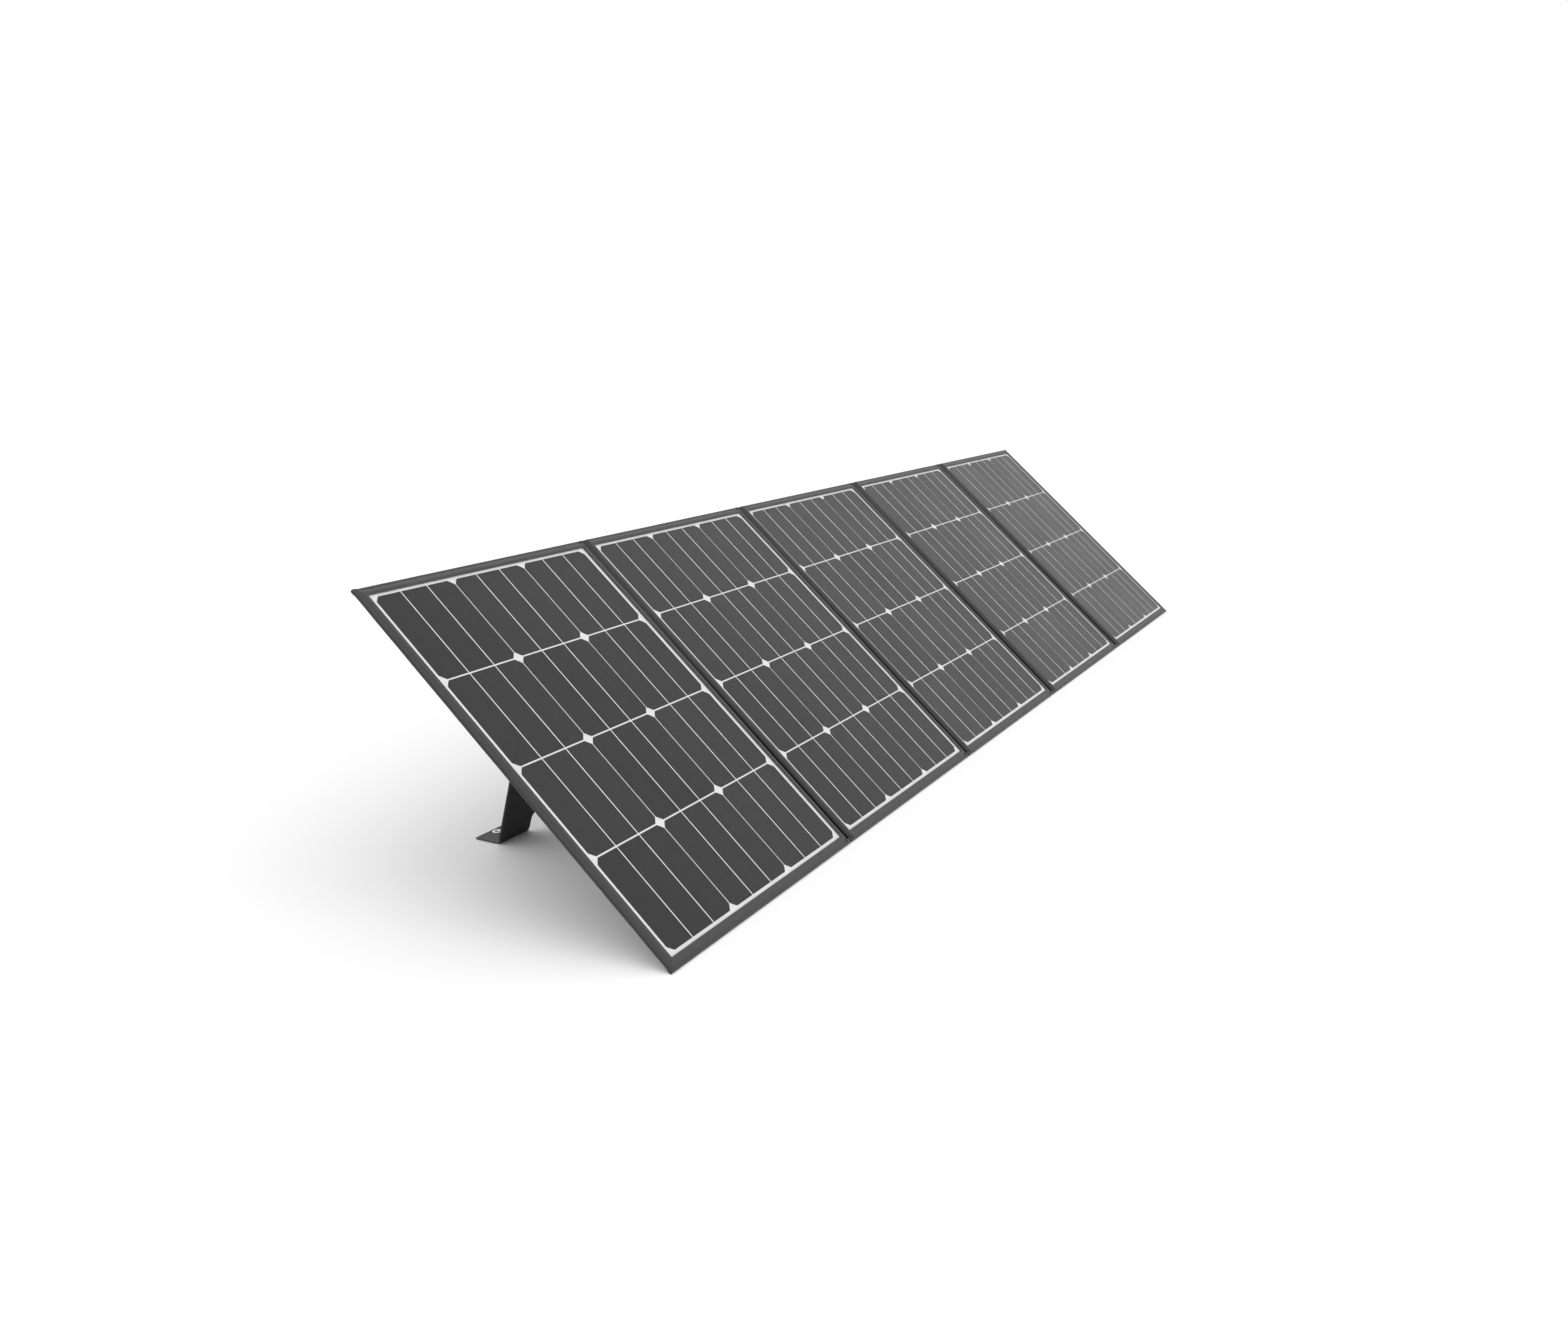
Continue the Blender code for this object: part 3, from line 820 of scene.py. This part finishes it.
def make_hinge_binding(k, material, top):
    """The same tape where it crosses a fabric hinge, pinched into the fold, with painted shade in the pinch.
    """
    low, high = board_edge(k, 1) + TAPE_LAP, board_edge(k + 1, 0) - TAPE_LAP
    edge, sign, where = hem_side(top)
    middle = HINGE_X[k]
    half = (high - low) / 2

    def station(x):
        pinch = smooth_step(1 - abs(x - middle) / half, 0, 1)
        wave = wrinkle(x, edge, 6 * MM, k + 150) * 0.7 * MM * pinch

        def place(d, n):
            level = 2.7 * MM
            return at(x, edge + sign * (d + (abs(wave) + 0.6 * MM * pinch) * (1 if top else 0)),
                      level + (n - level) * (1 - 0.42 * pinch) + wave * 0.5)

        return place

    stations = [station(x) for x in steps(low, high, 1.2 * MM)]
    made = sweep(f"hinge_binding_{where}_{k}{k + 1}", stations, binding_profile(TAPE_REACH), material)
    across = [abs((v.co - ORIGIN).dot(RIGHT) - middle) / half for v in made.data.vertices]
    # Painted shade on the tape where it is pinched into the fold, strongest at the fold's middle.
    darken(made, [0.75 * smooth_step(1 - a, 0.35, 1.0) for a in across])
    bends_at_hinge(made, k)


def make_side_binding(k, material):
    """Tape down the free side of an end panel, lapped over the other tapes at the corners."""
    edge, sign = (EDGES[k][0], 1) if k == 1 else (EDGES[k][1], -1)

    def station(t):
        wave = wrinkle(edge, t, 30 * MM, k + 170) * 0.25 * MM
        return lambda d, n: at(edge + sign * (d + max(0.0, wave)), t, n + wave * 0.5)

    stations = [station(t) for t in steps(-0.7 * MM, HEIGHT - 0.3 * MM, 6 * MM)]
    made = sweep(f"side_binding_{k}", stations, binding_profile(7 * MM, 0.2 * MM), material)
    belongs(made, "textile", f"panel_{k}")


def make_panel_stitches(k, material):
    """Front: round the window and beside the hinges. Back: round the board."""
    inset = 2.4 * MM
    x0, x1 = WINDOWS[k][0] - inset, WINDOWS[k][1] + inset
    t0, t1 = WINDOW_T[0] - inset, WINDOW_T[1] + inset
    n = FACE_N - 0.12 * MM
    corners = [at(x0, t0, n), at(x1, t0, n), at(x1, t1, n), at(x0, t1, n)]
    runs = loop_runs(corners, OUT)
    for t in (5.2 * MM, HEIGHT - 5.2 * MM):
        low_n = n - 0.97 * HEM_DROP
        runs.append((at(board_edge(k, 0), t, low_n), at(board_edge(k, 1), t, low_n), OUT))
    back_n = 0.15 * MM
    b0, b1 = board_edge(k, 0) + 2 * MM, board_edge(k, 1) - 2 * MM
    low, high = FACE_T[0] - 2 * MM, FACE_T[1] + 2 * MM
    corners = [at(b0, low, back_n), at(b1, low, back_n), at(b1, high, back_n), at(b0, high, back_n)]
    runs += loop_runs(corners, -OUT)
    made = stitches(f"panel_stitches_{k}", runs, material)
    belongs(made, "webbing", f"panel_{k}")


# ---------------------------------------------------------------- kickstands


def leg_frame(k):
    """Pivot, down-leg and sunny-side directions, and the crease of one kickstand, from its joints."""
    pivot = Vector(JOINTS[f"leg_{k}_fold"]["pos_m"])
    crease = Vector(JOINTS[f"foot_{k}_fold"]["pos_m"])
    left = span(f"leg_{k}_foot", RIGHT)[0]
    pivot.x = crease.x = left
    down = (crease - pivot).normalized()
    front = down.cross(RIGHT)
    return pivot, crease, down, front


LEG_NARROW = span("leg_1_foot", RIGHT)[1] - span("leg_1_foot", RIGHT)[0]
LEG_WIDE = span("leg_1_sleeve", RIGHT)[1] - span("leg_1_sleeve", RIGHT)[0]
LEG_HALF = 2 * MM
LEG_SHOULDER = (21 * MM, 45 * MM)
LEG_TOP_GAP = 3 * MM
LEG_END_GAP = 4 * MM
LEG_CORNERS = (5 * MM,) * 4 + (0.8 * MM,) * 2
CREASE_THICK = 1.7 * MM
FOOT_DEPTH = 40 * MM
FOOT_N = (0.1 * MM, 1.9 * MM)
EYELET_HOLE = 4.2 * MM
STRAP_THICK = 1.2 * MM


def leg_outline(length):
    """(x, s) corners of the leg, s down from the pivot."""
    low, high = length - LEG_SHOULDER[0], length - LEG_SHOULDER[1]
    bottom = length - LEG_END_GAP
    return [(0, LEG_TOP_GAP), (LEG_WIDE, LEG_TOP_GAP), (LEG_WIDE, high), (LEG_NARROW, low),
            (LEG_NARROW, bottom), (0, bottom)]


def rounded(outline, radius, segments=4):
    """An outline with its corners rounded off by small arcs; radius is one for all, or one for each."""
    points = []
    count = len(outline)
    radii = radius if isinstance(radius, tuple) else (radius,) * count
    for i in range(count):
        before, here, after = (Vector(outline[(i + j) % count]) for j in (-1, 0, 1))
        a = (before - here).normalized()
        b = (after - here).normalized()
        reach = min(radii[i], (before - here).length * 0.4, (after - here).length * 0.4)
        start, end = here + a * reach, here + b * reach
        for j in range(segments + 1):
            s = j / segments
            points.append(tuple(start * (1 - s) ** 2 + here * 2 * s * (1 - s) + end * s**2))
    return points


def slab(name, outline, low, high, place, material, soft=0.9 * MM):
    """A flat solid whose rim is rounded: place turns (x, y, z) into the row frame."""
    centre = Vector((sum(p[0] for p in outline) / len(outline), sum(p[1] for p in outline) / len(outline)))
    rings = []
    half = (high - low) / 2
    middle = (high + low) / 2
    for i in range(7):
        a = math.pi / 2 - math.pi * i / 6
        rings.append((soft * (1 - math.cos(a)), middle + half * math.sin(a)))
    points = []
    plane = []
    for inset, z in rings:
        for x, y in outline:
            pull = (centre - Vector((x, y)))
            scale_x = inset * (1 if pull.x > 0 else -1)
            scale_y = inset * (1 if pull.y > 0 else -1)
            points.append(place(x + scale_x, y + scale_y, z))
            plane.append((x, y, 0.0))
    faces = tube_faces(len(outline), len(rings))
    return recalculated(mesh_of(name, points, faces, plane, material))


def make_leg(k, mats):
    pivot, crease, down, front = leg_frame(k)
    length = (crease - pivot).length

    def on_leg(x, s, z):
        return pivot + RIGHT * x + down * s + front * z

    outline = rounded(leg_outline(length), LEG_CORNERS)
    cover = slab(f"leg_{k}_cover", outline, -LEG_HALF, LEG_HALF, on_leg, mats["leg"])
    belongs(cover, "textile", f"leg_{k}", f"leg_{k}_sleeve")

    inset = 5 * MM
    inner = [(x + (inset if x < LEG_NARROW / 2 else -inset), s + (inset if s < length / 2 else -1.0 * MM))
             for x, s in leg_outline(length)]
    runs = []
    for z, out in ((LEG_HALF, front), (-LEG_HALF, -front)):
        runs += loop_runs([on_leg(x, s, z) for x, s in inner], out)
    seams = stitches(f"leg_{k}_stitches", runs, mats["thread"])
    belongs(seams, "webbing", f"leg_{k}")
    make_leg_hinge(k, mats)
    make_crease(k, mats, on_leg, length)
    make_foot(k, mats)
    make_strap(k, mats)


def ribbon_along(name, path, width, thickness, x0, material):
    """A flat band that follows a path of places in the plane x = 0, width along x."""
    count = len(path)
    across = steps(0, width, 4 * MM)
    points = []
    plane = []
    along = 0.0
    for i, place in enumerate(path):
        before, after = path[max(0, i - 1)], path[min(count - 1, i + 1)]
        direction = (after - before).normalized()
        normal = direction.cross(RIGHT).normalized()
        along += (place - path[i - 1]).length if i else 0.0
        for side in (0.5, -0.5):
            for x in across:
                points.append(place + RIGHT * (x0 + x) + normal * (side * thickness))
                plane.append((x, along, 0.0))
    wide = len(across)
    ring = 2 * wide
    loop = list(range(wide)) + [2 * wide - 1 - i for i in range(wide)]
    faces = []
    for i in range(count - 1):
        for j in range(ring):
            a, b = loop[j], loop[(j + 1) % ring]
            faces.append((i * ring + a, i * ring + b, (i + 1) * ring + b, (i + 1) * ring + a))
    faces.append(tuple(loop))
    faces.append(tuple((count - 1) * ring + i for i in loop))
    return recalculated(mesh_of(name, points, faces, plane, material))


def make_leg_hinge(k, mats):
    """The anchor patch on the panel's back, running down round the pivot onto the leg."""
    pivot, _, down, front = leg_frame(k)
    t_pivot = (pivot - ORIGIN).dot(UP)
    n_pivot = (pivot - ORIGIN).dot(OUT)
    anchor_n = -0.9 * MM
    path = [at(0, t, anchor_n) for t in steps(t_pivot + 33 * MM, t_pivot + 7 * MM, 3 * MM)]
    start = at(0, t_pivot + 7 * MM, anchor_n)
    corner = at(0, t_pivot - 1 * MM, n_pivot + 0.4 * MM)
    end = Vector((0, pivot.y, pivot.z)) + down * 12 * MM - front * (LEG_HALF + 0.7 * MM)
    for i in range(1, 11):
        s = i / 11
        path.append(start * (1 - s) ** 2 + corner * 2 * s * (1 - s) + end * s**2)
    path += [end + down * d for d in steps(0, 16 * MM, 4 * MM)]
    made = ribbon_along(f"leg_{k}_hinge_cloth", path, LEG_WIDE, 1.0 * MM, pivot.x, mats["leg"])
    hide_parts(f"leg_{k}_anchor")
    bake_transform(made)
    seam_n = anchor_n - 0.5 * MM
    sides = (pivot.x + 4 * MM, pivot.x + LEG_WIDE - 4 * MM)
    low, high = t_pivot + 10 * MM, t_pivot + 30 * MM
    runs = [(at(sides[0], t, seam_n), at(sides[1], t, seam_n), -OUT) for t in (high, low)]
    runs += [(at(x, low, seam_n), at(x, high, seam_n), -OUT) for x in sides]
    seams = stitches(f"leg_{k}_anchor_stitches", runs, mats["thread"])
    belongs(seams, "webbing", f"panel_{k}")


def make_crease(k, mats, on_leg, length):
    """The cloth that carries on from the leg's end, turns on the floor and becomes the foot."""
    _, crease, _, _ = leg_frame(k)
    start = on_leg(-crease.x, length - 9 * MM, 0)
    start.x = 0
    corner = Vector((0, crease.y - 0.8 * MM, 1.0 * MM))
    end = Vector((0, crease.y + 5 * MM, 1.0 * MM))
    path = []
    for i in range(15):
        s = i / 14
        path.append(start * (1 - s) ** 3 + corner * 3 * s * (1 - s) ** 2 + corner * 3 * s**2 * (1 - s)
                    + end * s**3)
    made = ribbon_along(f"leg_{k}_crease_cloth", path, LEG_NARROW - 1.2 * MM, CREASE_THICK,
                        crease.x + 0.6 * MM, mats["leg"])
    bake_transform(made)
    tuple(start)


def make_foot(k, mats):
    """The ground flap, with a hole for its rolled eyelet."""
    _, crease, _, _ = leg_frame(k)
    hole_low, hole_high = span(f"leg_{k}_eyelet", RIGHT)
    centre_x = (hole_low + hole_high) / 2
    low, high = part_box(f"leg_{k}_eyelet")
    centre_y = (low.y + high.y) / 2
    outline = rounded([(0, 1.5 * MM), (LEG_NARROW, 1.5 * MM), (LEG_NARROW, FOOT_DEPTH), (0, FOOT_DEPTH)],
                      3.5 * MM)

    def place(x, y, z):
        return Vector((crease.x + x, crease.y + y, z))

    flap = slab(f"leg_{k}_foot_cloth", outline, *FOOT_N, place, mats["foot"], soft=0.7 * MM)
    bm = bmesh.new()
    bmesh.ops.create_cone(bm, cap_ends=True, segments=32, radius1=EYELET_HOLE,
                          radius2=EYELET_HOLE, depth=8 * MM)
    cutter = new_object(f"leg_{k}_foot_hole", bm_mesh(bm, "hole"))
    cutter.location = (centre_x, centre_y, 1 * MM)
    modifier = flap.modifiers.new("hole", "BOOLEAN")
    modifier.object = cutter
    modifier.operation = "DIFFERENCE"
    apply_modifiers(flap)
    bpy.data.objects.remove(cutter)
    belongs(flap, "textile", f"foot_{k}", f"leg_{k}_foot")
    inset = 4 * MM
    top = 1.95 * MM
    far_x, far_y = LEG_NARROW - inset, FOOT_DEPTH - inset
    outline = ((inset, 7 * MM), (far_x, 7 * MM), (far_x, far_y), (inset, far_y))
    runs = loop_runs([place(x, y, top) for x, y in outline], Vector((0, 0, 1)))
    seams = stitches(f"leg_{k}_foot_stitches", runs, mats["thread"])
    belongs(seams, "webbing", f"foot_{k}")
    make_eyelet(k, mats, centre_x, centre_y)


def apply_modifiers(obj):
    graph = bpy.context.evaluated_depsgraph_get()
    mesh = bpy.data.meshes.new_from_object(obj.evaluated_get(graph))
    obj.modifiers.clear()
    obj.data = mesh


def turned(name, profile, place, material, segments=48):
    """A closed (radius, height) profile turned round an axis."""
    points = []
    plane = []
    count = len(profile)
    for i in range(segments):
        a = 2 * math.pi * i / segments
        for j, (r, h) in enumerate(profile):
            points.append(place(r * math.cos(a), r * math.sin(a), h))
            plane.append((a * profile[0][0], j * MM, 0.0))
    faces = []
    for i in range(segments):
        after = (i + 1) % segments
        for j in range(count):
            k = (j + 1) % count
            faces.append((i * count + j, i * count + k, after * count + k, after * count + j))
    return recalculated(mesh_of(name, points, faces, plane, material))


def make_eyelet(k, mats, x, y):
    """A rolled brass eyelet: a domed flange that curls down into its barrel."""
    profile = [(3.2 * MM, 0.3 * MM), (3.9 * MM, 0.3 * MM), (3.9 * MM, 2.1 * MM)]
    for i in range(9):
        a = -math.pi / 2 + math.pi * i / 8
        profile.append((5.6 * MM + 0.9 * MM * math.cos(a), 2.5 * MM + 0.4 * MM * math.sin(a)))
    for i in range(6):
        a = math.pi / 2 + math.pi / 2 * i / 5
        profile.append((4.2 * MM + 1.0 * MM * math.cos(a), 1.9 * MM + 1.0 * MM * math.sin(a)))

    def place(dx, dy, h):
        return Vector((x + dx, y + dy, h))

    made = turned(f"leg_{k}_grommet", profile, place, mats["steel"])
    belongs(made, "steel", f"foot_{k}", f"leg_{k}_eyelet")


def make_strap(k, mats):
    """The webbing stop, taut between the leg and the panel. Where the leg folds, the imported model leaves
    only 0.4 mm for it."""
    low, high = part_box(f"leg_{k}_strap")
    points = [v.co for v in frame["nodes"][f"leg_{k}_strap"].data.vertices]
    first = min(points, key=lambda co: co.y)
    last = max(points, key=lambda co: co.y)
    start = Vector((0, first.y, first.z)) - UP * 3 * MM
    end = Vector((0, last.y, last.z))
    path = [start.lerp(end, s) for s in steps(0, 1, 1 / 24)]
    made = ribbon_along(f"leg_{k}_strap_web", path, high.x - low.x, STRAP_THICK, low.x,
                        mats["webbing"])
    belongs(made, "webbing", f"panel_{k}", f"leg_{k}_strap")
    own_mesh(made)


# ---------------------------------------------------------------- junction box


def make_junction_box(mats):
    x0, x1 = span("junction_box_base", RIGHT)
    t0, t1 = span("junction_box_base", UP)
    n0, n1 = span("junction_box_base", OUT)
    lid_low, lid_high = span("junction_box_lid", OUT)
    outline = rounded([(x0, t0), (x1, t0), (x1, t1), (x0, t1)], 6 * MM, 6)
    base = slab("junction_box_shell", outline, n0, n1, at, mats["plastic"], soft=0.5 * MM)
    belongs(base, "plastic", "panel_4", "junction_box_base", "junction_box_circuit")
    cover = slab("junction_box_cover", outline, lid_low, lid_high, at, mats["plastic"], soft=1.1 * MM)
    belongs(cover, "plastic", "panel_4", "junction_box_lid")
    ribs = []
    for i in range(5):
        t = t0 + (t1 - t0) * (0.3 + 0.1 * i)
        outline = rounded([(x0 + 22 * MM, t - 1 * MM), (x1 - 22 * MM, t - 1 * MM),
                           (x1 - 22 * MM, t + 1 * MM), (x0 + 22 * MM, t + 1 * MM)], 1 * MM)
        ribs.append(slab(f"lid_rib_{i}", outline, lid_low - 0.6 * MM, lid_low + 0.5 * MM, at, mats["plastic"],
                         soft=0.3 * MM))
    for x in (x0 + 7 * MM, x1 - 7 * MM):
        for t in (t0 + 7 * MM, t1 - 7 * MM):
            ribs.append(make_screw(f"lid_screw_{len(ribs)}", x, t, lid_low, mats["steel"]))
    trim = join(ribs, "junction_box_lid_trim")
    belongs(trim, "plastic", "panel_4")
    make_socket(mats)


def make_screw(name, x, t, n, material):
    """A pan-head screw with a round recess."""
    profile = [(0.25 * MM, 0.2 * MM), (2.4 * MM, 0.2 * MM), (2.4 * MM, -0.5 * MM), (1.8 * MM, -1.0 * MM),
               (1.0 * MM, -1.15 * MM), (0.7 * MM, -0.6 * MM), (0.25 * MM, -0.5 * MM)]

    def place(dx, dt, h):
        return at(x + dx, t + dt, n + h)

    return turned(name, profile, place, material, 24)


def make_socket(mats):
    """The round output socket, ribbed for grip, and its hinged rubber cap."""
    x0, x1 = span("output_socket", RIGHT)
    n0, n1 = span("output_socket", OUT)
    s0, s1 = span("output_socket", UP)
    x, n, radius = (x0 + x1) / 2, (n0 + n1) / 2, (x1 - x0) / 2
    length = s1 - s0
    profile = [(0.4 * MM, 0.0), (radius * 0.92, 0.0)]
    for i in range(6):
        h = length * (0.1 + 0.12 * i)
        profile += [(radius * 0.92, h), (radius, h + 0.5 * MM), (radius, h + 1.3 * MM),
                    (radius * 0.92, h + 1.8 * MM)]
    profile += [(radius * 0.9, length - 0.6 * MM), (radius * 0.84, length), (2.1 * MM, length),
                (1.9 * MM, length - 0.3 * MM), (1.9 * MM, 3 * MM), (0.4 * MM, 3 * MM)]

    def place(dx, dn, h):
        return at(x + dx, s1 - h, n + dn)

    made = turned("output_socket_shell", profile, place, mats["plastic"])
    belongs(made, "plastic", "panel_4", "output_socket")

    c0, c1 = span("dust_cap", UP)
    k0, k1 = span("dust_cap", OUT)
    cap_radius = (span("dust_cap", RIGHT)[1] - span("dust_cap", RIGHT)[0]) / 2
    profile = [(0.3 * MM, 0.0), (cap_radius * 0.94, 0.0), (cap_radius, 0.4 * MM)]
    for i in range(4):
        h = (c1 - c0) * (0.25 + 0.13 * i)
        profile += [(cap_radius, h), (cap_radius * 0.95, h + 0.12 * MM)]
    profile += [(cap_radius * 0.9, c1 - c0), (0.3 * MM, c1 - c0)]

    def cap_place(dx, dn, h):
        return at(x + dx, c1 - h, k1 - cap_radius + dn)

    disc = turned("dust_cap_disc", profile, cap_place, mats["rubber"])
    lug_outline = rounded([(x - 3 * MM, c0 + 0.1 * MM), (x + 3 * MM, c0 + 0.1 * MM),
                           (x + 3 * MM, c1 - 0.1 * MM), (x - 3 * MM, c1 - 0.1 * MM)], 0.6 * MM)
    lug = slab("dust_cap_lug", lug_outline, k0, k0 + 3.5 * MM, at, mats["rubber"], soft=0.4 * MM)
    made = join([disc, lug], "dust_cap_rubber")
    belongs(made, "rubber", "dust_cap", "dust_cap")


# ---------------------------------------------------------------- whole object


def make_materials():
    return {
        "front": woven("front_textile", 0.052, 0.55 * MM),
        "strip": woven("hinge_textile", 0.046, 0.55 * MM, fleck=0.25, sheen=0.0),
        "back": woven("back_textile", 0.045, 0.6 * MM, fleck=0.45),
        "binding": woven("binding_tape", 0.038, 0.5 * MM, rib=1.2 * MM),
        "leg": woven("leg_textile", 0.03, 0.55 * MM, fleck=0.2, sheen=0.1),
        "foot": woven("foot_textile", 0.06, 0.55 * MM),
        "webbing": woven("webbing", 0.025, 0.8 * MM, rib=2.0 * MM),
        "thread": woven("thread", 0.05, 0.5 * MM, sheen=0.1),
        "cell": cell_material(),
        "ribbon": ribbon_material(),
        "backsheet": sheet_white_material(),
        "film": film_material(),
        "steel": steel_material(),
        "plastic": moulded("box_plastic", 0.022, 0.5),
        "rubber": moulded("cap_rubber", 0.02, 0.75, 900.0),
        "board": board_material(),
    }


def main():
    make_camera()
    make_studio()
    mats = make_materials()
    rng = random.Random(SEED)
    for k in PANELS:
        paint(f"backsheet_{k}", mats["backsheet"])
        paint(f"front_film_{k}", mats["film"])
        paint(f"stiffener_board_{k}", mats["board"])
        make_cells(k, mats["cell"], rng)
        make_ribbons(k, mats["ribbon"])
        make_front_textile(k, mats["front"])
        make_back_textile(k, mats["back"])
        make_panel_stitches(k, mats["thread"])
        for top in (False, True):
            make_end_binding(k, mats["binding"], top)
    for k in HINGE_X:
        make_hinge_strips(k, mats["strip"])
        for top in (False, True):
            make_hinge_binding(k, mats["binding"], top)
    for k in (1, 5):
        make_side_binding(k, mats["binding"])
    for k in LEG_PANELS:
        paint(f"leg_{k}_board", mats["board"])
        make_leg(k, mats)
    make_junction_box(mats)


main()
